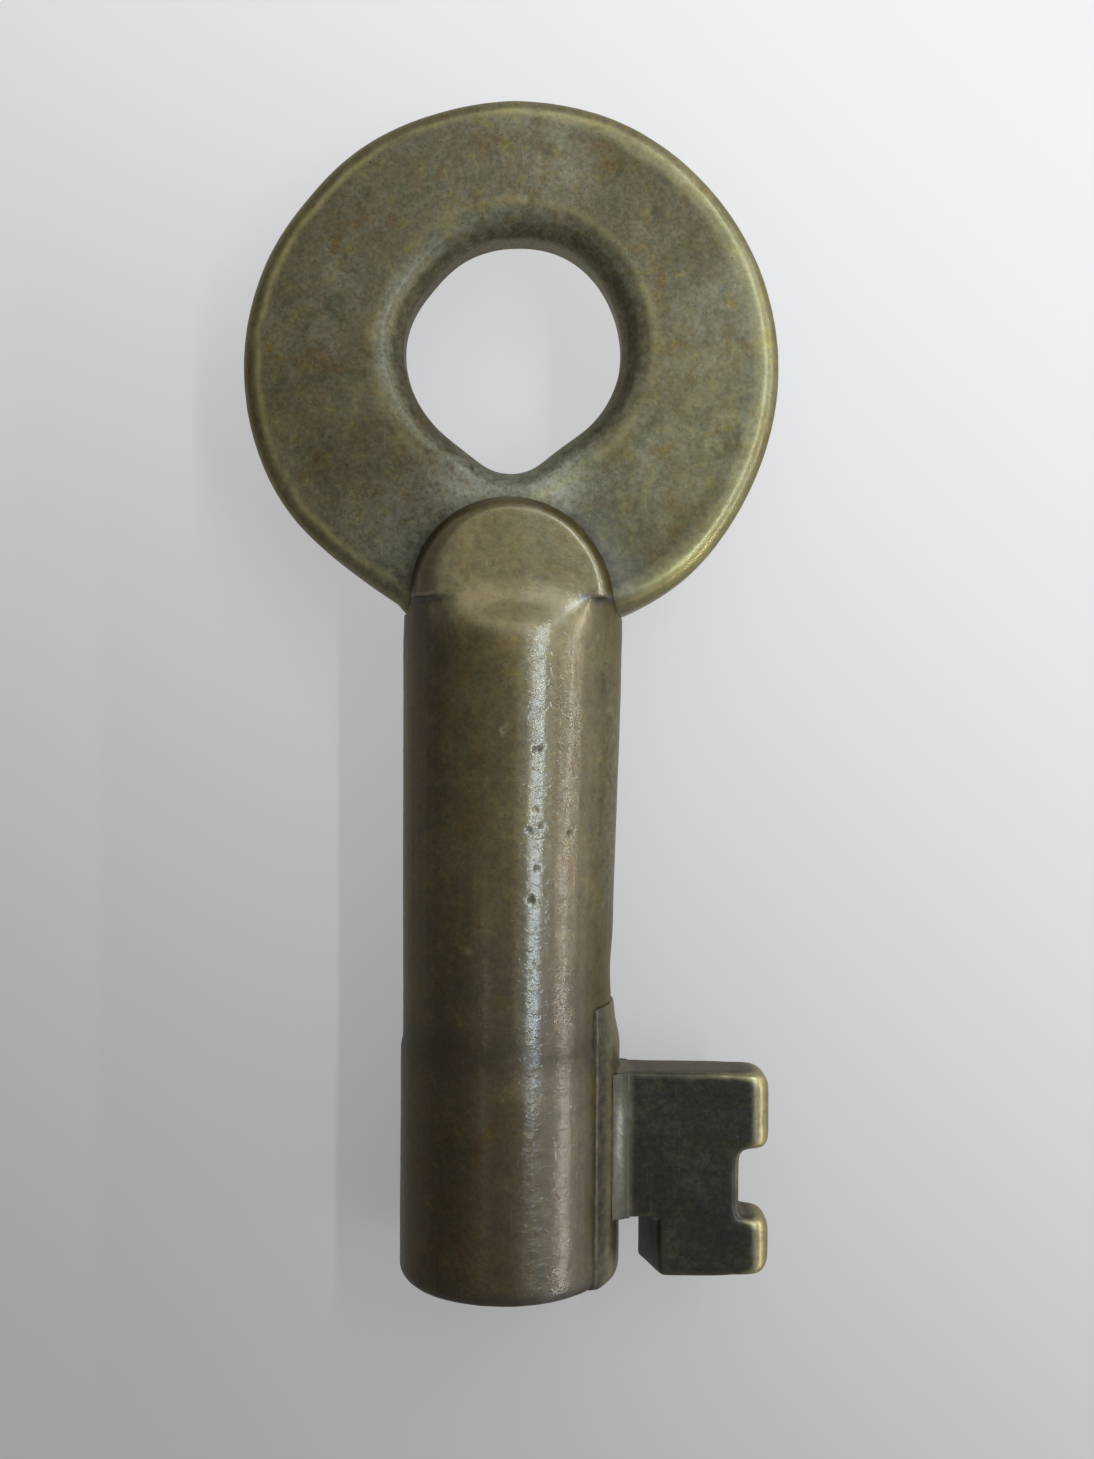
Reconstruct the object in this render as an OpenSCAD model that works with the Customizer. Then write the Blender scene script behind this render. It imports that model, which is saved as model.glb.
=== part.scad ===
// Railroad switch key, lying flat with its bow level.
// Origin: centre of the pipe's mouth, on the barrel's axis.
// +Y runs up the barrel to the bow, +X points to the bit, +Z is square to the bow.
// All sizes are in millimetres.

/* [Barrel] */
// Length of the barrel from its mouth to the shoulder under the bow
barrel_len = 30.15; // [26:0.05:36]
// Diameter of the turned end that carries the bit
mouth_d = 9.55; // [9.2:0.05:10.6]
// Length of the turned end
turned_len = 10.4; // [9:0.1:12]
// Length of the step from the turned end to the waist above it
step_len = 0.1; // [0.05:0.05:0.5]
// Diameter of the waist
waist_d = 9.35; // [9:0.05:10.6]
// Diameter at the shoulder
shoulder_d = 9.75; // [9.2:0.05:10.8]
// Rounding of the rim at the mouth
mouth_edge_r = 0.55; // [0.2:0.05:0.9]

/* [Pipe] */
// Diameter of the blind bore that goes over the lock's post
pipe_d = 6.35; // [4.5:0.05:6.8]
// Depth of the bore's straight wall
pipe_depth = 22; // [15:0.5:24]
// Included angle of the drill point at the bore's end
pipe_point_angle = 118; // [90:1:140]

/* [Head] */
// Diameter of the two round cheeks that clasp the bow
cheek_d = 8.7; // [8:0.05:9.1]
// Height of each cheek's crown above the bow's face, before its flat is cut
cheek_h = 2.35; // [2:0.05:2.6]
// Rounding of each cheek's edge
cheek_edge_r = 1.6; // [1:0.05:1.8]
// How far each cheek's square end is let into the barrel below the shoulder
cheek_seat = 0.1; // [0.05:0.05:0.15]
// Depth of each cheek's flat below its crown, at the foot of the facet
flat_depth = 0.2; // [0.1:0.05:0.4]
// Slope of each cheek's flat, down and away from the barrel
flat_angle = 2; // [1:0.5:5]
// Sideways slope of each cheek's flat and facet, down towards the bit
flat_tilt = 3; // [0:0.5:5]
// Slope of the facet that leads from the barrel's crest down to each cheek's flat
facet_angle = 40; // [30:1:60]
// Distance from the foot of the facet to the shoulder
facet_foot = 0.25; // [0.2:0.05:0.4]

/* [Bow] */
// Outer diameter of the bow
bow_d = 23.8; // [21:0.1:27]
// Thickness of the bow
bow_t = 3.4; // [2.8:0.1:4]
// Rounding of the bow's outer edge
bow_edge_r = 0.75; // [0.3:0.05:1.1]
// How far the bow's rim is let into the barrel below the shoulder
bow_seat = 1.65; // [1.2:0.05:2.1]

/* [Eye] */
// Diameter of the eye's round part
eye_d = 9.8; // [8:0.1:11]
// Width of the web between the cheeks and the eye's tip
eye_web = 1.3; // [1.1:0.05:2]
// Radius of the eye's tip, next to the cheeks
eye_tip_r = 2.3; // [1.5:0.1:2.8]
// Rounding of the eye's edge
eye_edge_r = 1.1; // [0.4:0.05:1.2]

/* [Bit] */
// Thickness of the bit
bit_t = 2.7; // [2:0.1:3.4]
// Distance from the barrel's axis to the tip of the bit
bit_reach = 11.75; // [10:0.05:13]
// Distance from the mouth to the foot of the bit
bit_from = 0.2; // [0.1:0.05:0.6]
// Distance from the mouth to the top of the bit
bit_to = 9.25; // [8:0.05:10]
// Rounding of the long edges at the tip
tip_edge_r = 0.8; // [0.3:0.05:1.1]
// Rounding of the bit's two outer corners
bit_corner_r = 0.75; // [0.3:0.05:1.1]
// Rounding of the two corners beside the tip's notch
prong_corner_r = 0.45; // [0.2:0.05:0.7]

/* [Cuts in the bit] */
// Distance from the mouth to the notch in the tip
notch_from = 2.8; // [2.2:0.1:3.4]
// Width of the notch along the barrel
notch_w = 3; // [2:0.1:3.6]
// Depth of the notch into the tip
notch_depth = 1.4; // [0.8:0.1:2]
// Length of the ward cut at the foot of the bit, measured from the mouth
ward_len = 2.8; // [2:0.1:3.6]
// Width of the ward cut beside the barrel's land, at mid thickness
ward_w = 1.35; // [1.2:0.05:2]
// Sideways lean of the ward cut's wall over the bit's thickness
ward_lean = 0.85; // [0:0.05:1]

/* [Bit land] */
// Length of the land that the bit stands on, measured from the mouth
land_len = 12.1; // [10.5:0.1:14]
// Width of the land across the barrel
land_w = 5.2; // [4.2:0.1:5.8]
// How far the land stands proud of the barrel
land_rise = 0.3; // [0.1:0.05:0.5]
// Wall left between the land's floor and the pipe
land_wall = 0.4; // [0.25:0.05:0.6]

/* [Brazing] */
// Gap for the film of braze between fitted faces
braze_gap = 0.02; // [0.01:0.01:0.05]
// Radius of the braze fillets along the root of the bit
bit_fillet_r = 2.2; // [1:0.1:2.8]
// Radius of the braze fillets round the cheeks
cheek_fillet_r = 0.45; // [0.3:0.05:0.6]

/* [Hidden] */
$fn = 200;
// Overrun of a cutting shape past the face that it cuts
over = 1;
// Share of a rounding's radius that its centre stands off a face, so that the arc meets it at an angle
stand_off = 0.94;
// Number of flats across the hollow of a cheek's fillet
cheek_fillet_flats = 5;
mouth_r = mouth_d / 2;
waist_r = waist_d / 2;
shoulder_r = shoulder_d / 2;
cheek_r = cheek_d / 2;
bow_r = bow_d / 2;
face_z = bow_t / 2;
cheek_top = face_z + cheek_h;
bow_y = barrel_len - bow_seat + bow_r;
eye_r = eye_d / 2;
// The eye's two flats have the slope of a 3-4-5 triangle
eye_flat_sin = 3 / 5;
eye_flat_cos = 4 / 5;
eye_flat_turn = asin(eye_flat_sin);
eye_tip_drop = (eye_r - eye_tip_r) / eye_flat_cos;
eye_flat_len = eye_tip_drop * eye_flat_sin;
eye_y = barrel_len + cheek_r + eye_web + eye_tip_r + eye_tip_drop;
land_r = mouth_r + land_rise;
land_floor = pipe_d / 2 + land_wall;
ward_x = land_r + ward_w;

// Removes the sharp outside of a flat outline's corner and leaves an arc of radius r.
// The arms of toward point from the outline to its outside.
module corner_cut(corner, r, toward) {
    translate(corner) difference() {
        translate([toward.x > 0 ? -r : -over, toward.y > 0 ? -r : -over]) square(r + over);
        translate([-toward.x * r, -toward.y * r]) circle(r);
    }
}

// Stands a flat outline up so that its own x and y lie along Y and Z, and draws it out along X.
module along_x(width) {
    rotate([90, 0, 90]) linear_extrude(width, center = true) children();
}

// Stands a flat outline up so that its own x and y lie along X and Z, and draws it out along Y.
module along_y(from, to) {
    translate([0, to, 0]) rotate([90, 0, 0]) linear_extrude(to - from) children();
}

// Turns a flat outline about the barrel's axis, its own y along the barrel.
module about_barrel() {
    rotate([-90, 0, 0]) rotate_extrude() children();
}

// The bow's disc before the eye is pierced, grown all over by grow
module bow_blank(grow = 0) {
    edge = [bow_r + grow, face_z + grow];
    r = bow_edge_r + grow;
    translate([0, bow_y, 0]) rotate_extrude() difference() {
        translate([0, -edge.y]) square([edge.x, 2 * edge.y]);
        corner_cut(edge, r, [1, 1]);
        corner_cut([edge.x, -edge.y], r, [1, -1]);
    }
}

// Half section of what the eye removes, out to a wall at distance wall, flared at both faces
module eye_section(wall) {
    nose = wall + eye_edge_r;
    nose_z = face_z - stand_off * eye_edge_r;
    difference() {
        translate([0, -face_z - over]) square([nose, 2 * (face_z + over)]);
        translate([wall, -nose_z]) square([2 * eye_edge_r, 2 * nose_z]);
        for (side = [-1, 1]) translate([nose, side * nose_z]) circle(eye_edge_r);
    }
}

// What the eye removes: a round part, a small round tip next to the cheeks, and the flats between them
module eye_cut() {
    translate([0, eye_y, 0]) {
        rotate_extrude() eye_section(eye_r);
        translate([0, -eye_tip_drop, 0]) rotate_extrude() eye_section(eye_tip_r);
        for (side = [0, 1]) mirror([side, 0, 0])
            rotate(eye_flat_turn - 90) along_y(-eye_flat_len, 0) eye_section(eye_r);
    }
}

// The barrel's outside, from the mouth to the shoulder
module shank() {
    about_barrel() difference() {
        polygon([
            [0, 0],
            [mouth_r, 0],
            [mouth_r, turned_len],
            [waist_r, turned_len + step_len],
            [shoulder_r, barrel_len],
            [0, barrel_len]
        ]);
        corner_cut([mouth_r, 0], mouth_edge_r, [1, -1]);
    }
}

// The round head that the bow is let into: half of a drum through both cheeks, on the barrel's shoulder
module cheeks() {
    translate([0, barrel_len, 0]) intersection() {
        rotate_extrude() difference() {
            translate([0, -cheek_top]) square([cheek_r, 2 * cheek_top]);
            corner_cut([cheek_r, cheek_top], cheek_edge_r, [1, 1]);
            corner_cut([cheek_r, -cheek_top], cheek_edge_r, [1, -1]);
        }
        translate([-cheek_d, -cheek_seat, -cheek_d]) cube(2 * cheek_d);
    }
}

// Cuts one cheek's flat, and the facet that leads down to it from the barrel's crest
module facet_cut() {
    flat_z = cheek_top - flat_depth;
    rise = shoulder_r + over - flat_z;
    end = facet_foot + cheek_r + over;
    translate([0, barrel_len - facet_foot, flat_z]) rotate([0, flat_tilt, 0])
        along_x(2 * (shoulder_r + over)) polygon([
            [-rise / tan(facet_angle), rise],
            [0, 0],
            [end, -end * tan(flat_angle)],
            [end, rise]
        ]);
}

// The blind bore, with its drill point
module pipe_cut() {
    pipe_r = pipe_d / 2;
    about_barrel() polygon([
        [0, -over],
        [pipe_r, -over],
        [pipe_r, pipe_depth],
        [0, pipe_depth + pipe_r / tan(pipe_point_angle / 2)]
    ]);
}

// The slot in the barrel's wall that the bit's land is let into
module land_slot() {
    half = land_w / 2 + braze_gap;
    along_y(-over, land_len + braze_gap) translate([land_floor - braze_gap, -half])
        square([land_r, 2 * half]);
}

module barrel() {
    color([0.34, 0.29, 0.2]) difference() {
        union() {
            shank();
            cheeks();
        }
        for (side = [0, 1]) mirror([0, 0, side]) facet_cut();
        bow_blank(braze_gap);
        pipe_cut();
        land_slot();
    }
}

module bow() {
    color([0.4, 0.37, 0.25]) difference() {
        bow_blank();
        eye_cut();
    }
}

// The bit's outline seen square to its face
module bit_outline() {
    notch_x = bit_reach - notch_depth;
    notch_top = notch_from + notch_w;
    difference() {
        translate([land_floor, bit_from]) square([bit_reach - land_floor, bit_to - bit_from]);
        translate([notch_x, notch_from]) square([notch_depth + over, notch_w]);
        corner_cut([bit_reach, bit_to], bit_corner_r, [1, 1]);
        corner_cut([bit_reach, bit_from], bit_corner_r, [1, -1]);
        corner_cut([bit_reach, notch_top], prong_corner_r, [1, -1]);
        corner_cut([bit_reach, notch_from], prong_corner_r, [1, 1]);
    }
}

// The bit's section square to the barrel, rounded at the tip
module bit_section() {
    half = bit_t / 2;
    difference() {
        translate([land_floor, -half]) square([bit_reach - land_floor, bit_t]);
        corner_cut([bit_reach, half], tip_edge_r, [1, 1]);
        corner_cut([bit_reach, -half], tip_edge_r, [1, -1]);
    }
}

// The bit's plain blade, from the floor of the land to the tip
module blade() {
    intersection() {
        linear_extrude(bit_t + 2 * over, center = true) bit_outline();
        along_y(-over, bit_to + over) bit_section();
    }
}

// The saddle along the bit's root, curved to follow the barrel and let into its wall
module land() {
    intersection() {
        about_barrel() difference() {
            square([land_r, land_len]);
            corner_cut([land_r, 0], mouth_edge_r, [1, -1]);
            corner_cut([land_r, land_len], land_rise, [1, 1]);
        }
        along_y(-over, land_len + over) translate([land_floor, -land_w / 2])
            square([land_r, land_w]);
    }
}

// The cut beside the land at the foot of the bit, with its leaning wall
module ward_cut() {
    half = bit_t / 2 + over;
    lean = ward_lean * half / bit_t;
    along_y(-over, ward_len) polygon([
        [land_floor, -half],
        [ward_x - lean, -half],
        [ward_x + lean, half],
        [land_floor, half]
    ]);
}

module bit() {
    color([0.23, 0.2, 0.15]) union() {
        difference() {
            blade();
            ward_cut();
        }
        land();
    }
}

// Section of one braze fillet between the land's crown and a face of the bit
module bit_fillet_section() {
    lift = stand_off * bit_fillet_r;
    centre_z = bit_t / 2 + lift;
    centre_x = sqrt(pow(land_r + lift, 2) - pow(centre_z, 2));
    inner = land_floor / (land_r + lift);
    difference() {
        polygon([
            [land_floor, bit_t / 2],
            [centre_x, bit_t / 2],
            [centre_x, centre_z],
            [inner * centre_x, inner * centre_z]
        ]);
        circle(land_r);
        translate([centre_x, centre_z]) circle(bit_fillet_r);
    }
}

module bit_braze() {
    color([0.47, 0.45, 0.4]) for (side = [0, 1]) mirror([0, 0, side])
        along_y(ward_len, bit_to) bit_fillet_section();
}

// Section of the braze fillet between a cheek's wall and the bow's face, its hollow made of short flats
module cheek_fillet_section() {
    sweep = 90 / cheek_fillet_flats;
    translate([cheek_r, face_z]) polygon([
        [0, 0],
        for (i = [0 : cheek_fillet_flats]) cheek_fillet_r * [1 - sin(i * sweep), 1 - cos(i * sweep)]
    ]);
}

module bow_braze() {
    color([0.26, 0.26, 0.2]) for (side = [0, 1]) mirror([0, 0, side])
        translate([0, barrel_len, 0]) rotate_extrude(angle = 180) cheek_fillet_section();
}

barrel();
bow();
bit();
bit_braze();
bow_braze();
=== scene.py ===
import math

import bpy
import numpy as np
from mathutils import Matrix, Vector


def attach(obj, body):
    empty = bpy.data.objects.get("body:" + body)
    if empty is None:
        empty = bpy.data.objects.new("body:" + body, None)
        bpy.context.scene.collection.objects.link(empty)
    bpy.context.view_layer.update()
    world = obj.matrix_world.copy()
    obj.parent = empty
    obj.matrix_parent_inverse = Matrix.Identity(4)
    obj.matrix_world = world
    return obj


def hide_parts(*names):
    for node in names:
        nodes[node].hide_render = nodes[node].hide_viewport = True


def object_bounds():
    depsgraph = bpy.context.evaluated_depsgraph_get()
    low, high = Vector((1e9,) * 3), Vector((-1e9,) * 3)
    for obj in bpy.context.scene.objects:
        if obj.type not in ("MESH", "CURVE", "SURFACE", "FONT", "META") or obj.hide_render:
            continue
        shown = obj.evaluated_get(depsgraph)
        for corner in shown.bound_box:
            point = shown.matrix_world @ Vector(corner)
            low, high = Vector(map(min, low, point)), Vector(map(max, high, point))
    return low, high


# Looks of the worn brass switch key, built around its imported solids. Shapes are worked out in millimetres.

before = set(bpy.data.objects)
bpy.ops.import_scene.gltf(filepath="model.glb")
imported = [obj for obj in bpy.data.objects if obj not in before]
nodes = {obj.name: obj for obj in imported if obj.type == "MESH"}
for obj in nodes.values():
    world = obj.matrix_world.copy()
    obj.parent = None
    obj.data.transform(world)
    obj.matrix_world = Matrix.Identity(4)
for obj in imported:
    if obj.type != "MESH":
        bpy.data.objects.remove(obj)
cad_low, cad_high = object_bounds()

# Sizes of the part in millimetres
MM = 0.001
SHOULDER_Y = 30.15
CHEEK_R = 4.35
BOW_Y = 40.4
BOW_R = 11.9
EYE_Y = 41.35
EYE_R = 4.9
EYE_TIP_R = 2.3
EYE_TIP_DROP = 3.25
RING_Y = 10.4
LAND_FOOT_R = 4.775
LAND_RISE = 0.3
LAND_HALF_W = 2.6
LAND_END_Y = 12.1

# Hand-filed outlines: bearing and spread in degrees, and height in millimetres
BOW_SWELLS = [(62, 16, 0.08), (108, 14, -0.10), (141, 14, -0.12), (234, 19, -0.40), (316, 13, 0.14)]
EYE_LEANS = [(58, 26, 0.17), (141, 24, -0.24), (205, 30, -0.10), (295, 20, -0.07)]

# How meshes are evened out: each round's pull to the neighbours, and the rounds for the most worn edges
RELAX_PULL = 0.6
SOFT_ROUNDS = 160


# Repeatable noise and smooth steps

def lattice(ix, iy, iz, seed):
    """A repeatable number from 0 to 1 for each whole-number place. Large multipliers mix its bits."""
    h = (ix * 374761393 + iy * 668265263 + iz * 2246822519 + seed * 1274126177) & 0xFFFFFFFF
    h = ((h ^ (h >> 13)) * 1103515245) & 0xFFFFFFFF
    h = ((h ^ (h >> 15)) * 2654435761) & 0xFFFFFFFF
    return ((h ^ (h >> 16)) & 0xFFFF) / 65535.0


def noise(points, size, seed):
    """Smooth noise from -1 to 1 whose lumps are about size millimetres across."""
    place = points / np.asarray(size, float)
    base = np.floor(place).astype(np.int64)
    part = place - base
    part = part * part * (3 - 2 * part)
    total = np.zeros(len(points))
    for dx in (0, 1):
        for dy in (0, 1):
            for dz in (0, 1):
                weight = (part[:, 0] if dx else 1 - part[:, 0])
                weight = weight * (part[:, 1] if dy else 1 - part[:, 1])
                weight = weight * (part[:, 2] if dz else 1 - part[:, 2])
                total += weight * lattice(base[:, 0] + dx, base[:, 1] + dy, base[:, 2] + dz, seed)
    return total * 2 - 1


def step(value, low, high):
    """0 below low, 1 above high, smooth between."""
    t = np.clip((value - low) / (high - low), 0, 1)
    return t * t * (3 - 2 * t)


def bump(value, centre, width):
    """1 at the centre, fading to 0 over about the width."""
    return np.exp(-(((value - centre) / width) ** 2))


def bearing(x, y, centre_y):
    """Degrees about a centre on the barrel's axis, from the bit's side round to the top."""
    return np.degrees(np.arctan2(y - centre_y, x)) % 360


def swells(degrees, places):
    """Rises and falls round a circle. A place is its bearing, spread and height."""
    return sum(height * bump(degrees, at, spread) for at, spread, height in places)


# Meshes

def even_copy(node, voxel):
    """A closed copy of a solid with even faces, in millimetres."""
    mesh = nodes[node].data.copy()
    mesh.transform(Matrix.Scale(1 / MM, 4))
    holder = bpy.data.objects.new("holder", mesh)
    bpy.context.scene.collection.objects.link(holder)
    remesh = holder.modifiers.new("even", "REMESH")
    remesh.mode = "VOXEL"
    remesh.voxel_size = voxel
    even = bpy.data.meshes.new_from_object(holder.evaluated_get(bpy.context.evaluated_depsgraph_get()))
    bpy.data.objects.remove(holder)
    bpy.data.meshes.remove(mesh)
    even.materials.clear()
    return even


def read(mesh, collection, field, width, kind):
    """A field of a mesh's elements as an array."""
    items = getattr(mesh, collection)
    values = np.empty(len(items) * width, kind)
    items.foreach_get(field, values)
    return values.reshape(-1, width)


def neighbour_mean(values, edges, count):
    """Each point's mean over the points it shares an edge with."""
    total = np.zeros_like(values)
    for column in range(values.shape[1]):
        total[:, column] = np.bincount(edges[:, 0], values[edges[:, 1], column], count)
        total[:, column] += np.bincount(edges[:, 1], values[edges[:, 0], column], count)
    degree = np.bincount(edges.ravel(), minlength=count)
    return total / np.maximum(degree, 1)[:, None]


def relax(values, edges, rounds, share=1.0):
    """Values evened out over the mesh, more where share is nearer 1."""
    weight = RELAX_PULL * np.broadcast_to(share, len(values))[:, None]
    for _ in range(rounds):
        values = values + weight * (neighbour_mean(values, edges, len(values)) - values)
    return values


def normals_of(mesh, points):
    """Point normals of the mesh once its points are moved."""
    mesh.vertices.foreach_set("co", points.astype(np.float32).ravel())
    mesh.update()
    return read(mesh, "vertex_normals", "vector", 3, np.float32).astype(float)


def curvature(points, normals, edges):
    """Mean curvature for each point in 1/mm: above 0 on an outer edge, below 0 in a hollow."""
    pull = neighbour_mean(points, edges, len(points)) - points
    span = ((points[edges[:, 0]] - points[edges[:, 1]]) ** 2).sum(axis=1).mean()
    raw = -2 * (pull * normals).sum(axis=1) / span
    return relax(raw[:, None], edges, 3)[:, 0]


def settle(points):
    """The casting's lean and hand-filed outlines, the same for every piece so that they stay together."""
    x, y, z = points.T
    moved = points.copy()
    # The shank stands a little to the bit's side under the bow and is fuller there.
    upper = step(y, 15.5, 27.0) * (1 - step(y, 30.0, 33.0))
    moved[:, 0] += upper * (0.06 + 0.13 * step(x, 0.0, 4.5))
    # It is drawn in a little above the bit's land.
    moved[:, 0] -= 0.10 * step(x, 2.0, 4.6) * bump(y, 13.6, 1.3)
    # The bit's land sinks into the barrel towards its long edges and its top end.
    away = np.hypot(x, z)
    edge = np.maximum(step(np.abs(z), 1.4, LAND_HALF_W), step(y, LAND_END_Y - 2.0, LAND_END_Y))
    proud = np.clip((away - LAND_FOOT_R) / LAND_RISE, 0, 1) * (1 - step(away, 5.3, 6.5))
    on_land = step(x, 3.0, 3.5) * (1 - step(y, LAND_END_Y, LAND_END_Y + 0.4))
    sink = 0.92 * LAND_RISE * edge * proud * on_land
    moved[:, 0] -= sink * x / np.maximum(away, 0.1)
    moved[:, 2] -= sink * z / np.maximum(away, 0.1)
    # The bow's outline swells and flattens away from the cheeks.
    angle = bearing(x, y, BOW_Y)
    out = np.hypot(x, y - BOW_Y)
    clear = np.maximum(step(np.abs(x), 4.5, 5.3), y > BOW_Y)
    reach = step(out, 7.5, 11.5) * clear * swells(angle, BOW_SWELLS) * step(y, 28.0, 29.0)
    # The eye leans to the bit's side at the top.
    turn = bearing(x, y, EYE_Y)
    rise = np.hypot(x, y - EYE_Y)
    inner = (1 - step(rise, 5.2, 8.0)) * step(rise, 2.0, 4.0) * swells(turn, EYE_LEANS)
    inner = inner * (1 - step(-(y - EYE_Y), 4.5, 6.0))
    moved[:, 0] += reach * np.cos(np.radians(angle)) + inner * np.cos(np.radians(turn))
    moved[:, 1] += reach * np.sin(np.radians(angle)) + inner * np.sin(np.radians(turn))
    return moved


def eye_gap(x, y):
    """Distance from the eye's wall in plan: a round, a small round tip, and the flats between them."""
    lean = (EYE_R - EYE_TIP_R) / EYE_TIP_DROP
    along = math.sqrt(1 - lean ** 2)
    side = np.abs(x)
    down = EYE_Y - y
    reach = along * down - lean * side
    round_gap = np.hypot(side, down) - EYE_R
    tip_gap = np.hypot(side, down - EYE_TIP_DROP) - EYE_TIP_R
    flat_gap = along * side + lean * down - EYE_R
    return np.where(reach < 0, round_gap, np.where(reach > along * EYE_TIP_DROP, tip_gap, flat_gap))


def cheek_gap(x, y):
    """Distance from the cheeks' wall in plan."""
    return np.hypot(x, y - SHOULDER_Y) - CHEEK_R


def dents(points, spots):
    """How deep a set of uneven dents goes at each point. A spot is its place, radius and depth."""
    depth = np.zeros(len(points))
    ragged = 1 + 0.6 * noise(points, 0.22, 81)
    for place, radius, deep in spots:
        apart = ((points - np.asarray(place, float)) ** 2).sum(axis=1)
        depth += deep * np.exp(-apart * ragged ** 2 / radius ** 2)
    return depth


def worn_piece(name, node, voxel, rounds, soft, relief, paint, material):
    """A worn copy of a solid: evened, softened, set, marked, and painted with wear and soil, and with
    painted highlights and shade.
    """
    mesh = even_copy(node, voxel)
    edges = read(mesh, "edges", "vertices", 2, np.int32)
    points = relax(read(mesh, "vertices", "co", 3, np.float32).astype(float), edges, rounds)
    if soft is not None:
        points = relax(points, edges, SOFT_ROUNDS, soft(points))
    plain = points
    points = settle(points)
    normals = normals_of(mesh, points)
    points = relief(points, plain, normals)
    normals = normals_of(mesh, points)
    bend = curvature(points, normals, edges)
    for label, values in paint(plain, normals, bend).items():
        layer = mesh.attributes.new(label, "FLOAT", "POINT")
        layer.data.foreach_set("value", np.clip(values, 0, 1).astype(np.float32))
    mesh.vertices.foreach_set("co", (points * MM).astype(np.float32).ravel())
    mesh.update()
    mesh.polygons.foreach_set("use_smooth", np.ones(len(mesh.polygons), bool))
    mesh.materials.append(material)
    piece = bpy.data.objects.new(name, mesh)
    mesh.name = name
    bpy.context.scene.collection.objects.link(piece)
    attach(piece, "root")
    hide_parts(node)


# Relief and paint of each piece
# Paint layers run from 0 to 1: bare metal, which also carries painted highlights; soil, which also carries
# painted shade; green, which is verdigris and also a painted glow; dark, which is the oldest skin and also
# painted shade; and polish, which is gloss.

def bow_relief(points, plain, normals):
    """A countersunk eye, a hollow sweep up to the cheeks, soft lumps on the faces, and small dings."""
    x, y, z = plain.T
    tip = bump(bearing(x, y, EYE_Y), 270, 40)
    width = 1.3 - 0.75 * tip
    drop = 0.34 * np.clip(1 - eye_gap(x, y) / width, 0, 1) ** 1.25 * (1 - 0.6 * tip)
    sweep = 0.36 * np.clip(1 - cheek_gap(x, y) / 2.6, 0, 1) ** 2.2
    sweep = sweep * step(eye_gap(x, y), 0.0, 0.9) * step(y, SHOULDER_Y - 1.2, SHOULDER_Y)
    side = np.sign(z) * step(np.abs(z), 0.3, 1.4)
    points = points.copy()
    points[:, 2] += side * (sweep - drop)
    lumps = 0.022 * noise(plain, 4.5, 11) + 0.010 * noise(plain, 1.4, 12) + 0.004 * noise(plain, 0.6, 13)
    return points + normals * (lumps - dents(plain, BOW_DINGS))[:, None]


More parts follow.
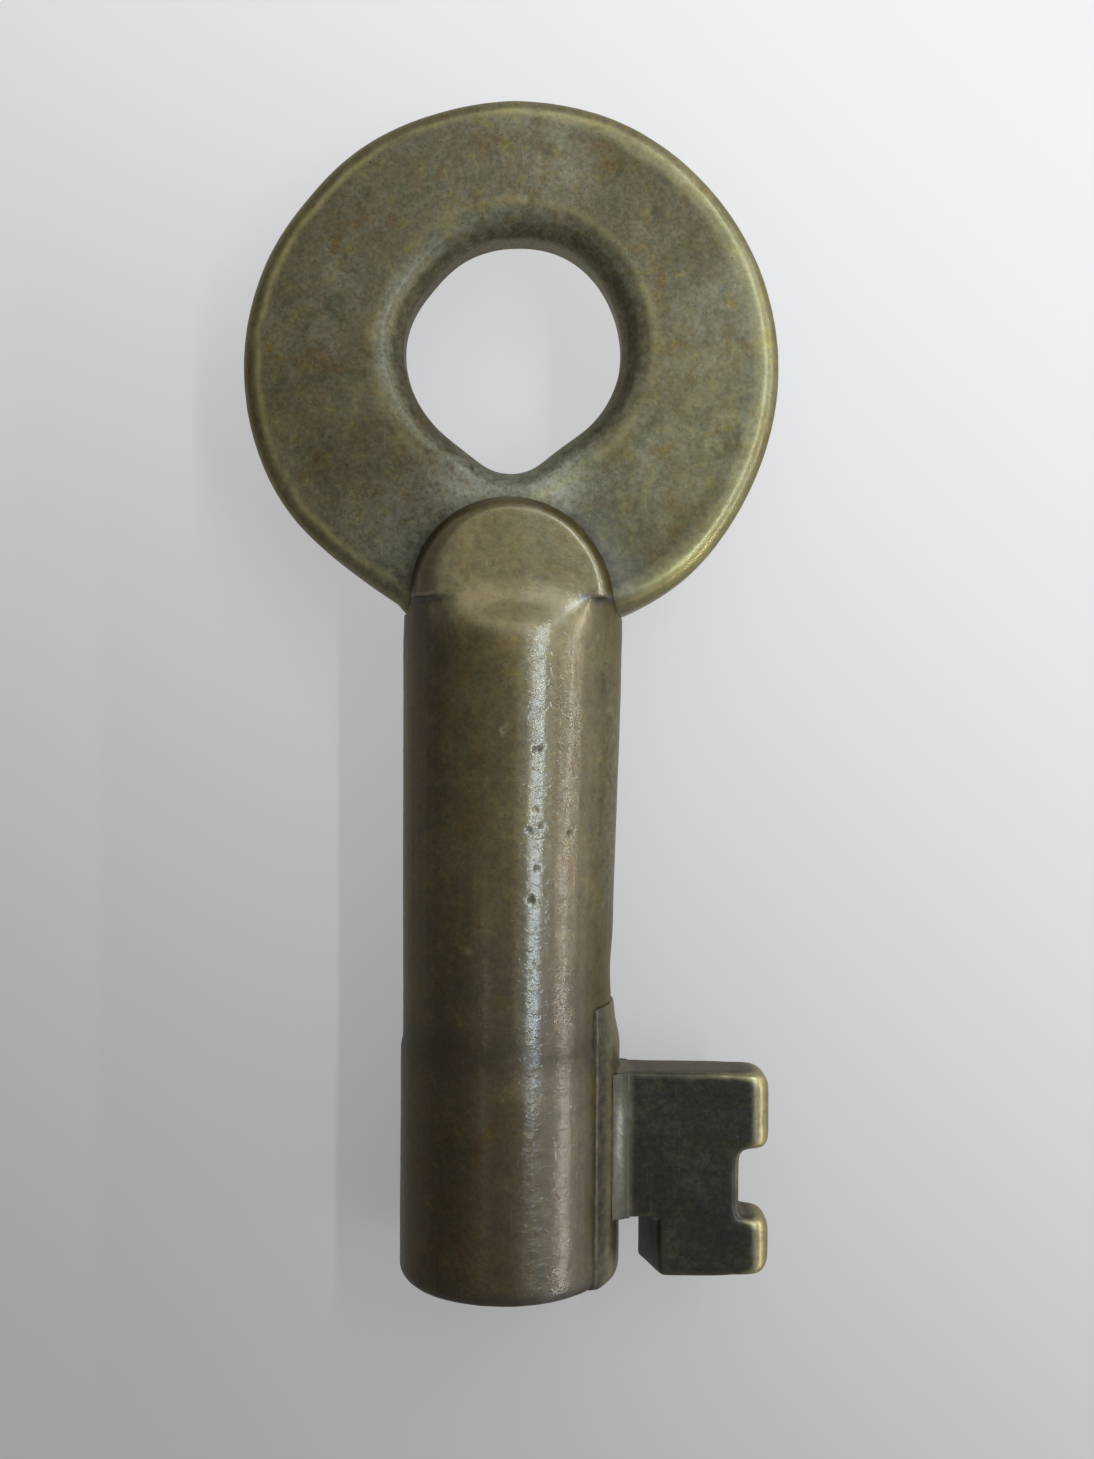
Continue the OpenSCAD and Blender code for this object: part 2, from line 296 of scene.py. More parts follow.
def bow_paint(plain, normals, bend):
    """Gold on the rim, with painted highlights on the lower right rim and over the right face; soil and
    green round the cheeks, with painted shade in the cove beside them; and painted shade on the left, in the
    eye's funnel, by the eye on the right and at the top right, over a random tone and a stain at the lower
    right.
    """
    x, y, _ = plain.T
    gap = cheek_gap(x, y)
    seat = bump(gap, 0.05, 0.3)
    web = bump(gap, 0.3, 2.0) * step(y, SHOULDER_Y - 1.5, SHOULDER_Y + 0.5)
    funnel = 1 - step(eye_gap(x, y), 0.9, 1.35)
    right = step(x, -3.0, 7.0)
    ragged = noise(plain, 1.1, 21)
    inset = BOW_R - np.hypot(x, y - BOW_Y) + 0.12 * ragged
    band = 1 - step(inset, 0.75 + 0.3 * right, 1.0 + 0.35 * right)
    line = bump(inset, 0.72, 0.14) * (0.35 + 0.35 * noise(plain, 1.7, 23)) * (1 - 0.7 * right)
    lip = bump(eye_gap(x, y), 1.4, 0.22) * (0.2 + 0.3 * noise(plain, 1.5, 24))
    rub_and_highlight = band * (0.12 + 0.14 * right) + line + lip
    rub_and_highlight = rub_and_highlight + (0.25 - 0.15 * right) * step(bend, 0.3, 0.9) * (1 - funnel)
    # Painted highlight along the lower right rim, over its worn bare edge
    rub_and_highlight = rub_and_highlight + 0.75 * bump(inset, 0.35, 0.3) * bump(bearing(x, y, BOW_Y), 311, 12)
    # Painted light over the right side of the face, below the eye
    rub_and_highlight = rub_and_highlight + 0.13 * step(x, 3.0, 8.0) * step(inset, 1.0, 2.0) * (1 - step(y, 40.0, 44.0))
    valley = web * step((y - SHOULDER_Y) / np.hypot(x, y - SHOULDER_Y), 0.75, 0.95)
    cove = web - valley
    bit_side = step(x, 0.5, 3.5)
    grime_and_shade = 0.4 * step(-bend, 0.1, 0.6) * (1 - valley) + 0.45 * seat
    # Painted shade in the left of the eye's funnel and in the cove beside the cheeks
    grime_and_shade = grime_and_shade + 0.25 * funnel * step(-x, 0.0, 3.0)
    grime_and_shade = grime_and_shade + cove * (0.4 * step(np.abs(x), 0.0, 3.0) + 0.25 * bit_side)
    stain = bump(inset, 1.75, 0.5) * step(x, 4.0, 6.0) * (1 - step(y, 36.0, 40.0))
    stain = stain * step(noise(plain, (1.3, 1.0, 1.3), 25), -0.35, 0.25)
    stain = stain + bump(np.hypot(x - 5.9, y - 32.3), 0.0, 1.4)
    # Painted shade: darker on the left, in the funnel and the cove, at the top right and by the eye on the
    # right, over a random tone and the stain
    shade = 0.75 * step(-x, -3.0, 8.0) * (1 - web) + 0.3 * noise(plain, 2.6, 22)
    shade = shade + 0.3 * funnel + 0.5 * cove
    shade = shade + 0.08 * right * (1 - band) + 0.6 * stain
    shade = shade + 0.65 * step(x, 1.5, 5.0) * step(y, 43.0, 47.0) * (1 - band)
    shade = shade + 0.4 * bump(eye_gap(x, y), 0.9, 0.9) * step(x, 2.0, 5.0)
    green = 1.3 * valley + cove * (0.5 - 0.35 * bit_side) + 0.3 * funnel
    return {"rub_and_highlight": rub_and_highlight, "grime_and_shade": grime_and_shade, "green": green, "dark": shade}


# Dents in the bow: place, radius and depth
BOW_DINGS = [
    ((-7.6, 44.6, 1.7), 0.5, 0.05),
    ((6.2, 46.9, 1.7), 0.4, 0.04),
    ((9.3, 37.2, 1.7), 0.6, 0.04),
    ((-8.8, 35.6, 1.7), 0.7, 0.04),
    ((1.4, 49.6, 1.7), 0.5, 0.04),
    ((-4.2, 48.0, -1.7), 0.6, 0.06),
    ((7.7, 42.2, -1.7), 0.5, 0.05),
]


def barrel_soft(points):
    """Where the barrel's edges are worn most: round the facets on its crest and the turned step."""
    x, y, z = points.T
    facet = step(y, 27.4, 28.4) * (1 - step(y, 30.2, 31.2)) * step(np.abs(z), 3.2, 3.5)
    facet = facet * (1 - step(np.abs(x - 0.2), 2.4, 3.2))
    return np.maximum(facet, 0.05 * bump(y, RING_Y, 0.6))


def barrel_relief(points, plain, normals):
    """Casting waviness, fine ripples, pits along the crest, and nicks."""
    outer = step(np.hypot(plain[:, 0], plain[:, 2]), 3.6, 4.2)
    lumps = 0.022 * noise(plain, (3.0, 6.0, 3.0), 31) + 0.008 * noise(plain, (1.0, 1.3, 1.0), 32)
    lumps = lumps + 0.006 * noise(plain, (0.5, 0.3, 0.5), 33)
    marks = dents(plain, BARREL_PITS) + dents(plain, BARREL_NICKS)
    return points + normals * (outer * (lumps - marks))[:, None]


# Dark pits in the barrel, and nicks painted bright as bare brass and as the highlight they catch: place,
# radius and depth
BARREL_PITS = [
    ((1.20, 23.55, 4.7), 0.13, 0.05),
    ((1.45, 23.62, 4.6), 0.10, 0.04),
    ((1.18, 21.05, 4.7), 0.10, 0.06),
    ((0.95, 20.15, 4.7), 0.13, 0.05),
    ((1.20, 20.22, 4.7), 0.12, 0.05),
    ((1.45, 20.28, 4.6), 0.13, 0.05),
    ((1.10, 17.2, 4.7), 0.13, 0.06),
    ((1.32, 18.6, 4.6), 0.10, 0.04),
    ((2.7, 20.0, 4.0), 0.12, 0.05),
    ((2.4, 27.0, -4.2), 0.25, 0.05),
    ((-1.7, 12.8, -4.5), 0.22, 0.06),
]
BARREL_NICKS = [
    ((-0.06, 24.4, 4.75), 0.15, 0.06),
    ((-1.5, 15.0, 4.5), 0.16, 0.03),
    ((3.6, 28.4, 3.2), 0.13, 0.04),
    ((-3.1, 22.0, -3.6), 0.18, 0.05),
]


def barrel_paint(plain, normals, bend):
    """Soil in the bore, the hollows, the turned line and the pits; painted shade in the creases under the
    head, at the left shoulder, down the left side and round the mouth; gold on the slope below the head,
    partly painted light; bright nicks, partly painted highlights; a painted glow along the edges; darker
    towards the mouth; and gloss along the crest's bit side.
    """
    x, y, z = plain.T
    out = np.hypot(x, z)
    bore = (1 - step(out, 3.3, 3.9)) * (1 - step(y, 24.0, 24.5))
    head = step(y, SHOULDER_Y - 0.2, SHOULDER_Y + 0.2)
    rub_and_highlight = step(bend, 1.0, 1.7) * (0.8 + 0.3 * noise(plain, 1.2, 41)) * (1 - 0.65 * head)
    # Gold on the slope below the head: partly worn brass, partly painted light that lightens the slope
    flat = step(y, 28.2, 29.2) * step(np.abs(z), 3.3, 3.6)
    rub_and_highlight = rub_and_highlight + flat * (0.20 + 0.15 * noise(plain, 1.5, 42))
    rub_and_highlight = rub_and_highlight + 0.15 * flat * bump(y, 29.4, 0.5) * (x < 2.0)
    wall = head * (1 - step(np.abs(z), 3.2, 3.6))
    ring = bump(y, RING_Y + 0.15, 0.75) * (0.6 + 0.25 * noise(plain, (2.0, 0.3, 2.0), 44))
    # Painted shade in the creases under the head's step and on the left shoulder below it
    crease = bump(y, SHOULDER_Y - 0.15, 0.22) * step(np.abs(x - 0.25), 2.3, 3.0) * (np.abs(z) > 1.8)
    shoulder = step(-x, 1.9, 2.6) * bump(y, 28.9, 1.1) * (y < SHOULDER_Y)
    pits = np.clip(12 * dents(plain, BARREL_PITS), 0, 0.8)
    # The nicks are painted bright: bare brass and the highlight they catch
    nicks = np.clip(9 * dents(plain, BARREL_NICKS), 0, 1)
    slot = bump(np.abs(z) - LAND_HALF_W, 0.0, 0.28) * (x > 3.0)
    slot = slot * (1 - step(y, LAND_END_Y - 3.0, LAND_END_Y))
    # Painted shade round the mouth, in both the soil and the dark layers
    mouth = 1 - step(y, 0.2, 1.0)
    grime_and_shade = step(-bend, 0.5, 1.2) + ring + crease + 0.6 * shoulder + pits + 0.9 * slot + mouth
    grime_and_shade = grime_and_shade + 0.35 * wall * step(np.abs(x) + y - SHOULDER_Y, 2.0, 4.0)
    grime_and_shade = grime_and_shade + bore * step(y, -0.5, 2.0)
    beside_land = (1 - step(np.abs(z), LAND_HALF_W + 0.4, LAND_HALF_W + 0.8)) * (x > 3.0)
    beside_land = beside_land * (1 - step(y, LAND_END_Y + 0.4, LAND_END_Y + 0.9))
    rub_and_highlight = rub_and_highlight * (1 - beside_land) * (1 - mouth) * (1 - bump(y, RING_Y, 0.7)) + nicks
    lower = 0.35 + 0.65 * (1 - step(y, 9.0, 22.0))
    lower = lower * (1 - 0.8 * step(y, 25.0, 29.0)) + 0.15 * noise(plain, 3.0, 43)
    polish = step(np.abs(normals[:, 2]), 0.45, 0.85)
    polish = polish * (1 - np.clip(1.3 * pits, 0, 1)) * (1 - 0.9 * ring)
    polish = polish * (0.35 + 0.65 * step(x, 0.2, 1.1))
    polish = polish * (1 - 0.65 * (1 - step(y, 6.5, 11.5)) * (1 - step(x, 1.3, 2.0)))
    # Painted shade down the left side
    left = 0.9 * step(-x, 1.6, 3.4)
    # Painted glow along the right edge and the far left edge, laid in the green layer
    pale = step(x, 3.5, 4.7) * step(y, 12.5, 19.0) * (1 - step(y, 24.0, 30.0))
    pale = pale * (0.45 + 0.35 * noise(plain, (1.5, 2.5, 1.5), 45)) + 0.2 * step(-x, 4.2, 4.7)
    dark = np.maximum(np.maximum(lower * (1 - 0.5 * step(x, 2.4, 4.0)), left), mouth)
    return {"rub_and_highlight": rub_and_highlight, "grime_and_shade": grime_and_shade, "green": 0.2 * crease + pale, "dark": dark, "polish": polish}


def bit_soft(points):
    """Where the bit's edges are worn most: round the tip and its notch, and a little all over the blade."""
    x = points[:, 0]
    return 0.06 * step(x, 5.6, 6.4) + 0.14 * step(x, 9.4, 10.2)


def bit_relief(points, plain, normals):
    """Soft lumps, and the land's top end pressed tight into its slot."""
    lumps = 0.012 * noise(plain, 1.6, 51) + 0.006 * noise(plain, 0.5, 52)
    points = points + normals * lumps[:, None]
    points[:, 1] += 0.18 * step(plain[:, 1], LAND_END_Y - 0.7, LAND_END_Y - 0.1)
    return points


def bit_paint(plain, normals, bend):
    """Almost black on the blade's faces and walls, with painted shade on the ward's wall and the walls
    facing the mouth, gold on its tip.
    """
    x, y, z = plain.T
    blade = step(x, 5.25, 5.75)
    tip = step(x, 10.8, 11.4)
    handled = step(x, 10.2, 11.0) + 0.6 * step(y, 8.4, 9.0) * step(x, 7.0, 9.5)
    rub_and_highlight = step(bend, 0.3, 1.0) * (0.7 + 0.3 * noise(plain, 0.9, 61)) * (0.12 * blade + 0.7 * handled)
    rub_and_highlight = rub_and_highlight + 0.8 * tip + 0.28 * (1 - blade)
    plain_edge = step(bend, 0.3, 1.0) * blade * (1 - step(x, 8.6, 10.0))
    grime_and_shade = 0.7 * step(-bend, 0.15, 0.7) + (1 - blade) * step(np.abs(z), 1.85, 2.35)
    grime_and_shade = grime_and_shade + 0.8 * plain_edge
    face = step(np.abs(normals[:, 2]), 0.75, 0.97) * blade
    # Painted shade on the ward's leaning wall
    ward = step(-normals[:, 0], 0.4, 0.8) * blade
    grime_and_shade = grime_and_shade + ward
    # Painted shade on the walls facing the mouth end, and on the ward's wall
    under = step(-normals[:, 1], 0.6, 0.9) + ward
    rub_and_highlight = rub_and_highlight * (1 - ward)
    top = 0.35 * step(normals[:, 1], 0.7, 0.95) * blade
    return {"rub_and_highlight": rub_and_highlight, "grime_and_shade": grime_and_shade, "dark": np.maximum(np.maximum(face, under), top)}


def run_relief(points, plain, normals):
    """The slight unevenness of braze."""
    return points + normals * (0.008 * noise(plain, 0.8, 71))[:, None]


def bit_run_paint(plain, normals, bend):
    """Pale along the middle of the run as a painted highlight of the fillet, soiled towards the land, the
    blade and both ends.
    """
    x, y, _ = plain.T
    # Painted highlight along the middle of the run
    middle = bump(x, 5.06, 0.2) * step(y, 3.2, 5.2) * (1 - step(y, 7.0, 9.0))
    middle = middle * (0.8 + 0.35 * noise(plain, (0.2, 1.2, 1.0), 73))
    edge = 0.8 + 0.2 * step(x, 4.8, 5.2)
    return {"rub_and_highlight": 0 * x, "grime_and_shade": edge * (1 - middle), "green": 0.2 * middle, "dark": 1 - middle}


def bow_run_paint(plain, normals, bend):
    """A little soil and green, the same all round the cheeks."""
    return {"rub_and_highlight": 0 * bend, "grime_and_shade": 0.25 + 0 * bend, "green": 0.5 + 0 * bend}


# Materials

def srgb(red, green, blue):
    """A colour as seen, from 0 to 255, as the renderer's own values."""
    values = []
    for level in (red, green, blue):
        share = level / 255
        values.append(share / 12.92 if share <= 0.04045 else ((share + 0.055) / 1.055) ** 2.4)
    return (*values, 1.0)


class Graph:
    """A material's nodes, added one at a time."""

    def __init__(self, name):
        self.material = bpy.data.materials.new(name)
        self.material.use_nodes = True
        self.tree = self.material.node_tree
        self.tree.nodes.clear()

    def add(self, kind, settings=None, sockets=None):
        """A node with its settings, and its sockets linked or set."""
        made = self.tree.nodes.new(kind)
        for key, value in (settings or {}).items():
            setattr(made, key, value)
        for key, value in (sockets or {}).items():
            if isinstance(value, bpy.types.NodeSocket):
                self.tree.links.new(value, made.inputs[key])
            else:
                made.inputs[key].default_value = value
        return made

    def place(self, scale=(1, 1, 1), turn=(0, 0, 0)):
        """Places on the object in millimetres, stretched and turned."""
        here = self.add("ShaderNodeTexCoord").outputs["Object"]
        stretch = tuple(s / MM for s in scale)
        mapping = {"Vector": here, "Scale": stretch, "Rotation": turn}
        return self.add("ShaderNodeMapping", None, mapping).outputs[0]

    def grain(self, vector, scale, detail=5, rough=0.6, warp=0.0):
        """Noise from 0 to 1."""
        sockets = {"Vector": vector, "Scale": scale, "Detail": detail, "Roughness": rough}
        sockets["Distortion"] = warp
        return self.add("ShaderNodeTexNoise", None, sockets).outputs["Fac"]

    def layer(self, name):
        """A paint layer of the piece."""
        return self.add("ShaderNodeAttribute", {"attribute_name": name}).outputs["Fac"]

    def sums(self, operation, first, second=0.0):
        """Arithmetic on two values."""
        sockets = {0: first, 1: second}
        return self.add("ShaderNodeMath", {"operation": operation, "use_clamp": False}, sockets).outputs[0]

    def scale(self, value, low, high, to_low=0.0, to_high=1.0):
        """A smooth step between two levels."""
        sockets = {0: value, 1: low, 2: high, 3: to_low, 4: to_high}
        return self.add("ShaderNodeMapRange", {"interpolation_type": "SMOOTHSTEP"}, sockets).outputs[0]

    def mix(self, share, first, second, blend="MIX"):
        """Two colours mixed."""
        settings = {"data_type": "RGBA", "blend_type": blend, "clamp_factor": True}
        return self.add("ShaderNodeMix", settings, {0: share, 6: first, 7: second}).outputs[2]

    def ramp(self, value, stops):
        """Colours along a value."""
        made = self.add("ShaderNodeValToRGB", None, {0: value})
        points = made.color_ramp.elements
        while len(points) < len(stops):
            points.new(0.5)
        for element, (spot, colour) in zip(points, stops):
            element.position = spot
            element.color = colour
        return made.outputs["Color"]


def aged_brass(name, tones, gold, soil, rough, brush=(), coat=0.15, bumps=0.006, mottle=1.0, bare=0.92,
               sand=0.16, beads=0.0):
    """Brass under an uneven brown skin, rubbed bright on its edges and dark in its hollows, with painted
    highlights and painted shade laid in by the paint layers.

    The tones are three skin colours from dark to pale, and the oldest skin's. Rough is the least and the
    most roughness. Brush lists scratches by stretch and turn. Coat is the gloss over the skin, or its least
    and its most where the polish layer sets it. Bumps and beads are depths in millimetres, beads in the
    coat alone. Mottle and sand are the strength of the patches and of the grit, and bare is how metallic
    the skin is where no soil lies.
    """
    g = Graph(name)
    here = g.place()
    broad = g.grain(here, 0.45, 6, 0.62, 0.4)
    fine = g.grain(here, 2.6, 8, 0.68)
    speck = g.grain(here, 9.0, 4, 0.6)
    tone = g.sums("ADD", g.sums("MULTIPLY", broad, 0.55), g.sums("MULTIPLY", fine, 0.45))
    skin = g.ramp(tone, [(0.36, tones[0]), (0.5, tones[1]), (0.64, tones[2])])
    # The oldest skin, and painted shade where the paint lays it
    skin = g.mix(g.layer("dark"), skin, g.mix(g.scale(tone, 0.45, 0.75), tones[3], tones[0]))
    # Patches of brown, of olive and of grey green over the skin
    for spread, turn, tint, share in PATCHES:
        patch = g.grain(g.place((1, 1, 1), (0, 0, turn)), spread, 5, 0.6, 0.6)
        patch = g.sums("MULTIPLY", g.scale(patch, 0.52, 0.68), share * mottle)
        skin = g.mix(patch, skin, g.mix(1.0, skin, tint, "MULTIPLY"))
    green = g.sums("MULTIPLY", g.layer("green"), g.scale(fine, 0.25, 0.65))
    # Verdigris, which is also a painted glow along the barrel's edges and a tint on the braze run's painted
    # highlight
    skin = g.mix(green, skin, VERDIGRIS_AND_GLOW)
    pits = g.scale(speck, 0.58, 0.70)
    skin = g.mix(g.sums("MULTIPLY", pits, 0.6 * mottle), skin, soil)
    grit = g.grain(g.place((1, 1, 1), (0, 0, 1.1)), 5.5, 3, 0.6)
    grit = g.scale(grit, 0.3, 0.7, 1 - sand, 1 + sand)
    skin = g.mix(mottle, skin, g.mix(1.0, skin, grit, "MULTIPLY"))
    rub_and_highlight = g.sums("MULTIPLY", g.layer("rub_and_highlight"), g.scale(fine, 0.2, 0.6, 0.45, 1.0))
    # Bare brass where worn, and painted highlights where the paint lays them
    skin = g.mix(rub_and_highlight, skin, gold)
    grime_and_shade = g.sums("MULTIPLY", g.layer("grime_and_shade"), g.scale(fine, 0.3, 0.7, 0.95, 0.55))
    # Soil, and painted shade where the paint lays it
    skin = g.mix(grime_and_shade, skin, soil)
    # Fine scratches: thin stretched noise in a few directions
    marks = None
    for stretch, turn in brush:
        line = g.scale(g.grain(g.place(stretch, (0, 0, turn)), 1.0, 3, 0.5), 0.66, 0.80)
        marks = line if marks is None else g.sums("MAXIMUM", marks, line)
    if marks is not None:
        skin = g.mix(g.sums("MULTIPLY", marks, 0.10), skin, gold)
    height = g.sums("ADD", g.sums("MULTIPLY", fine, 0.5), g.sums("MULTIPLY", speck, 0.35))
    height = g.sums("SUBTRACT", height, g.sums("MULTIPLY", pits, 0.5))
    if marks is not None:
        height = g.sums("SUBTRACT", height, g.sums("MULTIPLY", marks, 0.3))
    relief = {"Strength": 1.0, "Distance": bumps * MM, "Height": height}
    tilt = g.add("ShaderNodeBump", None, relief).outputs[0]
    # Sparse grains in the coat, which break up the light along the barrel
    coat_tilt = tilt
    if beads:
        ridges = g.scale(g.grain(g.place((3.0, 5.0, 3.0)), 1.0, 1.5, 0.5), 0.5, 0.72)
        relief = {"Strength": 1.0, "Distance": beads * MM, "Height": ridges}
        coat_tilt = g.add("ShaderNodeBump", None, relief).outputs[0]
    uneven = g.sums("ADD", g.sums("MULTIPLY", fine, 0.6), g.sums("MULTIPLY", broad, 0.4))
    gloss = g.scale(uneven, 0.3, 0.7, rough[0], rough[1])
    gloss = g.sums("SUBTRACT", gloss, g.sums("MULTIPLY", rub_and_highlight, 0.12))
    gloss = g.sums("ADD", gloss, g.sums("MULTIPLY", g.sums("ADD", grime_and_shade, green), 0.15))
    metal = g.scale(grime_and_shade, 0.0, 1.0, bare, 0.45)
    if isinstance(coat, tuple):
        coat = g.scale(g.layer("polish"), 0.0, 1.0, coat[0], coat[1])
    sockets = {
        "Base Color": skin,
        "Roughness": gloss,
        "Metallic": metal,
        "Specular Tint": EDGE_TINT,
        "Normal": tilt,
        "Coat Weight": coat,
        "Coat Roughness": COAT_ROUGH,
        "Coat IOR": COAT_IOR,
        "Coat Normal": coat_tilt,
    }
    shader = g.add("ShaderNodeBsdfPrincipled", None, sockets)
    g.add("ShaderNodeOutputMaterial", None, {"Surface": shader.outputs[0]})
    return g.material


COAT_ROUGH = 0.24
COAT_IOR = 1.8
EDGE_TINT = (0.6, 0.56, 0.5, 1)
BOW_TONES = [srgb(98, 93, 72), srgb(116, 111, 90), srgb(132, 127, 107), srgb(86, 78, 55)]
BARREL_TONES = [srgb(86, 75, 44), srgb(100, 89, 54), srgb(114, 102, 66), srgb(69, 59, 41)]
BIT_TONES = [srgb(70, 66, 55), srgb(92, 88, 76), srgb(108, 103, 90), srgb(42, 39, 33)]
# The braze run's first three tones show only in its painted highlight; the last is its own colour
RUN_TONES = [srgb(88, 87, 80), srgb(106, 105, 98), srgb(124, 123, 115), srgb(80, 76, 60)]
SEAT_TONES = [srgb(66, 63, 48), srgb(80, 77, 60), srgb(94, 91, 72), srgb(80, 76, 60)]
# Verdigris, also the colour of a painted glow
VERDIGRIS_AND_GLOW = srgb(142, 143, 126)
# Bare brass, also the colour of painted highlights
GOLD = srgb(172, 159, 116)
OLIVE_GOLD = srgb(166, 157, 105)
# Patches: how many to a millimetre, a turn that sets them apart, what they multiply the skin by,
# and how strongly
PATCHES = [
    (0.9, 0.3, (1.00, 0.80, 0.60, 1), 0.9),
    (1.3, 1.7, (1.22, 1.18, 0.70, 1), 0.9),
    (0.7, 2.6, (0.76, 0.84, 0.82, 1), 0.9),
]
# Soil, also the colour of painted shade
SOIL_AND_SHADE = srgb(44, 40, 31)
CROSSED = [((10, 0.45, 1), 0.7), ((12, 0.5, 1), -0.9)]
ALONG = [((7, 0.3, 7), 0.02)]
BRUSHED = [((14, 0.5, 1), 0.03), ((9, 0.4, 1), -0.05)]

bow_brass = aged_brass("bow_brass", BOW_TONES, OLIVE_GOLD, SOIL_AND_SHADE, (0.36, 0.50), CROSSED, 0.12, sand=0.19)
barrel_brass = aged_brass("barrel_brass", BARREL_TONES, GOLD, SOIL_AND_SHADE, (0.34, 0.46), ALONG, (0.14, 0.8),
                          bumps=0.007, mottle=0.9, bare=0.75, beads=0.0075)
bit_brass = aged_brass("bit_brass", BIT_TONES, GOLD, SOIL_AND_SHADE, (0.36, 0.5), BRUSHED, 0.2, sand=0.28)
bit_spelter = aged_brass("bit_spelter", RUN_TONES, GOLD, SOIL_AND_SHADE, (0.36, 0.5), BRUSHED, 0.2)
bow_spelter = aged_brass("bow_spelter", SEAT_TONES, GOLD, SOIL_AND_SHADE, (0.4, 0.55))

# Each piece: its name, its node, the size of its even faces, the rounds that soften it, where its edges are
# worn most, its relief and its paint, and its material
worn_piece("bow_worn", "bow", 0.13, 5, None, bow_relief, bow_paint, bow_brass)
worn_piece("barrel_worn", "barrel", 0.10, 4, barrel_soft, barrel_relief, barrel_paint,
           barrel_brass)
worn_piece("bit_worn", "bit", 0.09, 5, bit_soft, bit_relief, bit_paint, bit_brass)
worn_piece("bit_braze_run", "bit_braze", 0.05, 2, None, run_relief, bit_run_paint,
           bit_spelter)
worn_piece("bow_braze_run", "bow_braze", 0.05, 2, None, run_relief, bow_run_paint,
           bow_spelter)


# Floor, light and camera

def pale_floor():
    """A plain pale floor just under the key, which keeps its shadow."""
    half = FLOOR_HALF
    mesh = bpy.data.meshes.new("floor")
    corners = [(-half, -half, 0), (half, -half, 0), (half, half, 0), (-half, half, 0)]
    mesh.from_pydata(corners, [], [(0, 1, 2, 3)])
    g = Graph("floor")
    sockets = {"Base Color": FLOOR_PALE, "Roughness": 0.95, "Specular IOR Level": 0.1}
    plain = g.add("ShaderNodeBsdfPrincipled", None, sockets).outputs[0]
    slope = {0: g.place(), 1: FLOOR_SLOPE}
    level = g.add("ShaderNodeVectorMath", {"operation": "DOT_PRODUCT"}, slope).outputs["Value"]
    level = g.scale(level, -0.5, 0.5)
    shade = g.mix(level, FLOOR_DIM, FLOOR_BRIGHT)
    glow = g.add("ShaderNodeEmission", None, {"Color": shade}).outputs[0]
    path = g.add("ShaderNodeLightPath")
    seen = g.sums("MAXIMUM", path.outputs["Is Camera Ray"], path.outputs["Is Glossy Ray"])
    seen = g.sums("MAXIMUM", seen, path.outputs["Is Transmission Ray"])
    seen = g.sums("MULTIPLY", seen, FLOOR_GLOW)
    both = g.add("ShaderNodeMixShader", None, {0: seen, 1: plain, 2: glow})
    g.add("ShaderNodeOutputMaterial", None, {"Surface": both.outputs[0]})
    mesh.materials.append(g.material)
    floor = bpy.data.objects.new("floor", mesh)
    floor.location = (0, FLOOR_MIDDLE_Y, cad_low.z - FLOOR_GAP)
    bpy.context.scene.collection.objects.link(floor)


# The floor: sizes in metres, its colour, and its own glow, which runs from dim at the lower left to bright
# at the upper right
FLOOR_HALF = 0.6
FLOOR_MIDDLE_Y = 0.025
FLOOR_GAP = 0.00005
FLOOR_PALE = srgb(229, 228, 227)
FLOOR_SLOPE = (0.0068, 0.0082, 0.0)
FLOOR_DIM = (0.222, 0.210, 0.203, 1)
FLOOR_BRIGHT = (0.95, 0.96, 0.97, 1)
FLOOR_GLOW = 0.70


def soft_lamp(name, place, aim, size, radiance, colour=(1, 1, 1)):
    """An area lamp, its long side along the barrel, as bright as radiance where 1 is white."""
    data = bpy.data.lights.new(name, "AREA")
    data.shape = "RECTANGLE"
    data.size, data.size_y = size
    data.energy = radiance * math.pi * size[0] * size[1]
    data.color = colour
    lamp = bpy.data.objects.new(name, data)
    back = (Vector(place) - Vector(aim)).normalized()
    across = Vector((0, 1, 0)).cross(back).normalized()
    turn = Matrix((across, back.cross(across), back)).transposed()
    lamp.matrix_world = Matrix.Translation(place) @ turn.to_4x4()
    bpy.context.scene.collection.objects.link(lamp)


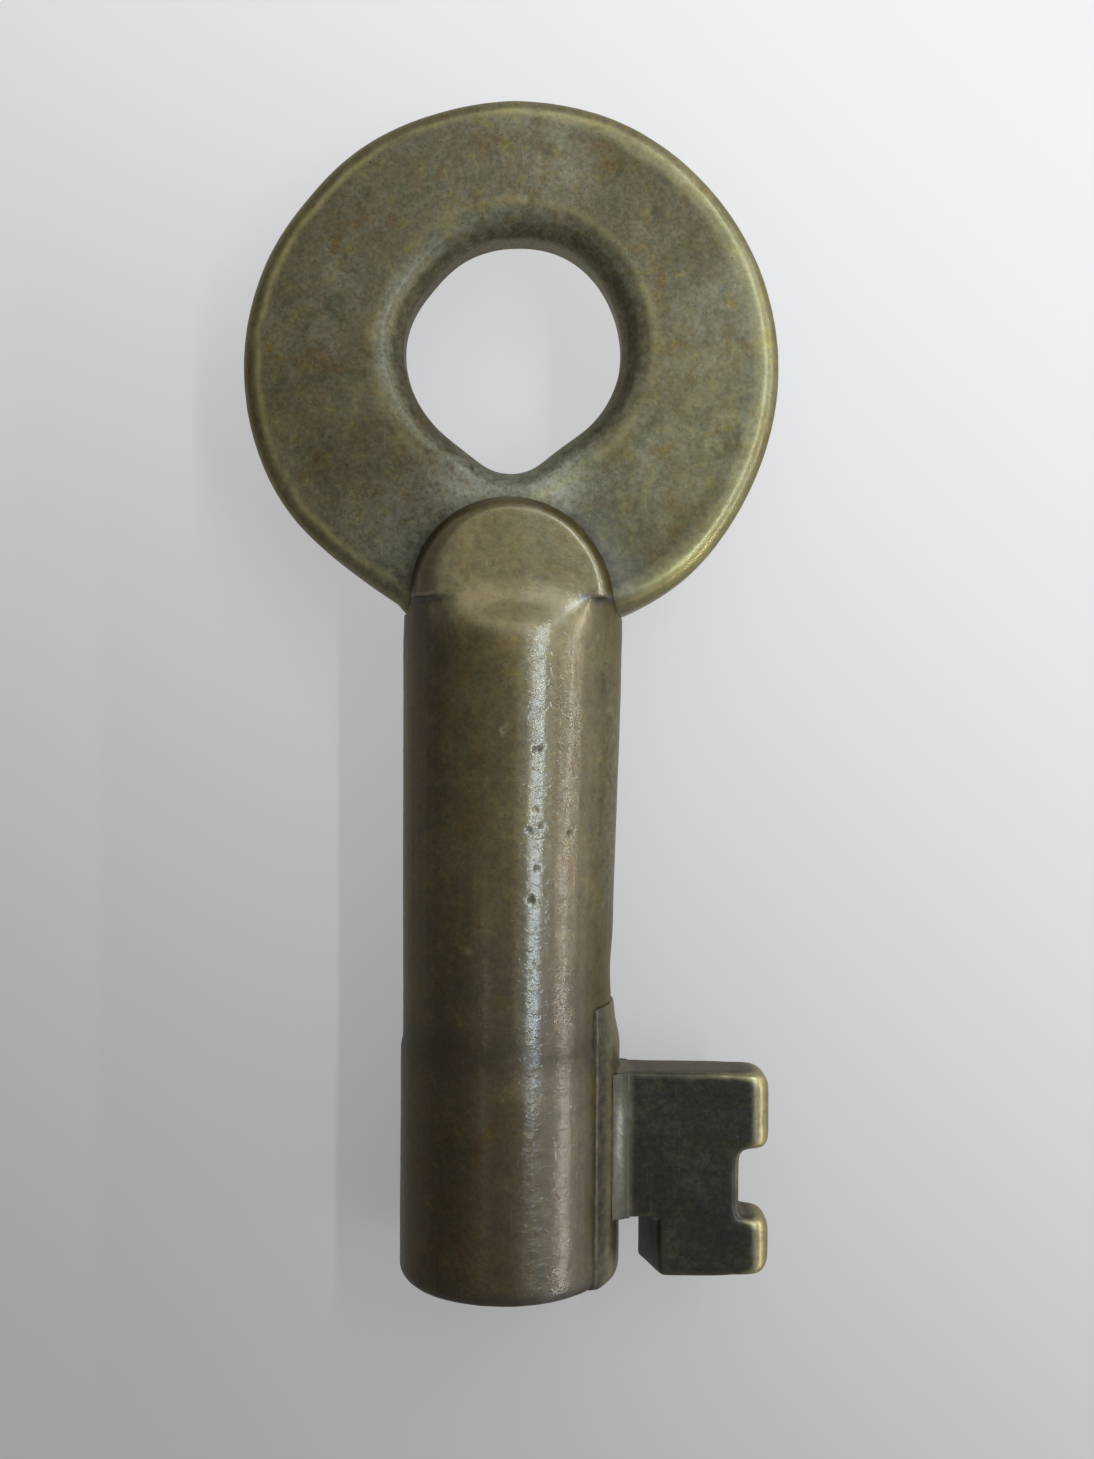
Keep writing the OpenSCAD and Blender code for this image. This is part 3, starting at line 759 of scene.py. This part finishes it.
def room_light():
    """A plain room: dim on the left, brighter to the right and behind the bow."""
    world = bpy.data.worlds.new("room")
    bpy.context.scene.world = world
    world.use_nodes = True
    tree = world.node_tree
    tree.nodes.clear()
    place = tree.nodes.new("ShaderNodeTexCoord")
    lean = tree.nodes.new("ShaderNodeVectorMath")
    lean.operation = "DOT_PRODUCT"
    lean.inputs[1].default_value = ROOM_BRIGHT_SIDE
    shift = tree.nodes.new("ShaderNodeMapRange")
    shift.inputs[1].default_value = -1
    shift.inputs[2].default_value = 1
    ramp = tree.nodes.new("ShaderNodeValToRGB")
    ramp.color_ramp.elements[0].color = ROOM_DIM
    ramp.color_ramp.elements[1].color = ROOM_BRIGHT
    back = tree.nodes.new("ShaderNodeBackground")
    out = tree.nodes.new("ShaderNodeOutputWorld")
    tree.links.new(place.outputs["Generated"], lean.inputs[0])
    tree.links.new(lean.outputs["Value"], shift.inputs[0])
    tree.links.new(shift.outputs[0], ramp.inputs[0])
    tree.links.new(ramp.outputs[0], back.inputs[0])
    tree.links.new(back.outputs[0], out.inputs[0])


ROOM_BRIGHT_SIDE = (0.97, 0.24, 0.0)
ROOM_DIM = (0.16, 0.16, 0.16, 1)
ROOM_BRIGHT = (0.74, 0.75, 0.76, 1)


def beside(degrees, distance, along):
    """A place over the barrel that many degrees right of straight up."""
    turn = math.radians(degrees)
    return (distance * math.sin(turn), along, distance * math.cos(turn))


# Strip lamps: degrees right of straight up, place along the barrel, width and length, brightness and
# colour, with lengths in metres
STRIP_AWAY = 0.35
STRIPS = {
    "strip_high": (29.5, 0.12, (0.010, 0.42), 46.0, (0.73, 0.88, 1.0)),
    "strip_low": (62, 0.05, (0.006, 0.60), 30.0, (1.0, 0.98, 0.92)),
    "strip_edge": (68, 0.05, (0.003, 0.60), 20.0, (1.0, 0.98, 0.92)),
    "strip_left": (-23, -0.075, (0.010, 0.065), 10.0, (1.0, 0.93, 0.8)),
}
TOP_PLACE = (0.04, 0.32, 0.36)
TOP_AIM = (0, 0.03, 0)
TOP_SIZE = (0.30, 0.25)
TOP_RADIANCE = 1.0

pale_floor()
room_light()
for strip, (degrees, along, size, radiance, colour) in STRIPS.items():
    soft_lamp(strip, beside(degrees, STRIP_AWAY, along), (0, along, 0), size, radiance, colour)
soft_lamp("top", TOP_PLACE, TOP_AIM, TOP_SIZE, TOP_RADIANCE)

# The camera looks straight down from where the photograph was taken, in metres and degrees
CAMERA_PLACE = (0.001697, 0.024388, 0.06586)
CAMERA_TURN = 0.384
CAMERA_SENSOR = 36
CAMERA_LENS = 36
CAMERA_NEAR = 0.001

camera_data = bpy.data.cameras.new("camera")
camera_data.sensor_width = CAMERA_SENSOR
camera_data.lens = CAMERA_LENS
camera_data.clip_start = CAMERA_NEAR
camera = bpy.data.objects.new("camera", camera_data)
camera.location = CAMERA_PLACE
camera.rotation_euler = (0, 0, math.radians(CAMERA_TURN))
bpy.context.scene.collection.objects.link(camera)
bpy.context.scene.camera = camera
bpy.context.scene.view_settings.view_transform = "Standard"
